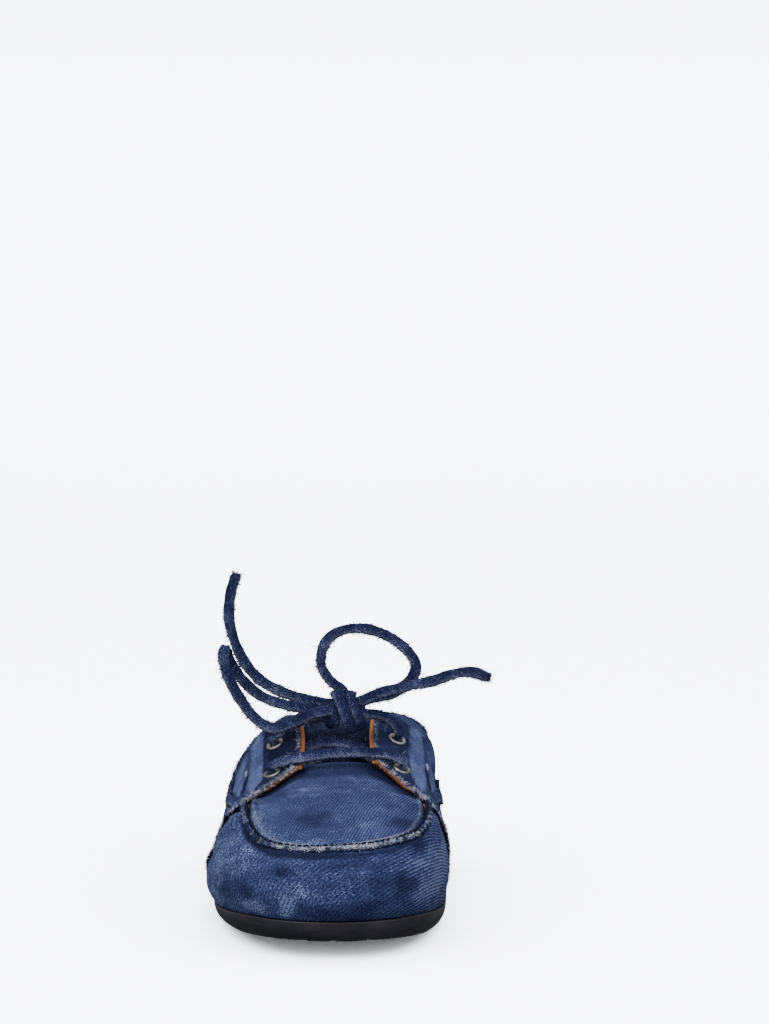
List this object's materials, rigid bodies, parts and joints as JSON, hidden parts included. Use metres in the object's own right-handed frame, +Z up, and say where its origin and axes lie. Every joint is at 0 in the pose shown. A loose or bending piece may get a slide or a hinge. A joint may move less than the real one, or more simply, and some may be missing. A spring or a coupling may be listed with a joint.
{
  "type": "boat shoe mule",
  "caption": "Backless boat shoe in washed indigo denim with a raw apron seam, open throat, denim bow lace and black rubber cup sole; right shoe.",
  "frame": {"origin": "on the floor, in the middle of the shoe's box without its bow", "axes": "+Z up from the floor, -Y towards the toe, +Y towards the heel, +X towards the medial side of this right shoe"},
  "size_m": [0.1206, 0.2686, 0.1408],
  "materials": {
    "washed_denim": "washed indigo twill with raw edges",
    "dark_denim": "unwashed indigo twill",
    "lace_denim": "flat folded denim strip with fluffy edges",
    "tan_leather": "smooth tan lining leather",
    "black_rubber": "satin moulded rubber",
    "nickel": "polished nickel"
  },
  "bodies": {
    "root": {"outsole": "black_rubber", "insole": "tan_leather", "upper": "washed_denim", "quarter_lateral": "washed_denim", "quarter_medial": "washed_denim", "tongue": "dark_denim", "eyelet_lower_lateral": "nickel", "eyelet_lower_medial": "nickel", "eyelet_upper_lateral": "nickel", "eyelet_upper_medial": "nickel", "lace_lacing": "lace_denim", "side_lace_lateral": "lace_denim", "side_lace_medial": "lace_denim", "lace_knot": "lace_denim", "lace_loop_left": "lace_denim", "lace_loop_top": "lace_denim", "lace_end_left": "lace_denim", "lace_end_right": "lace_denim"}
  },
  "joints": []
}
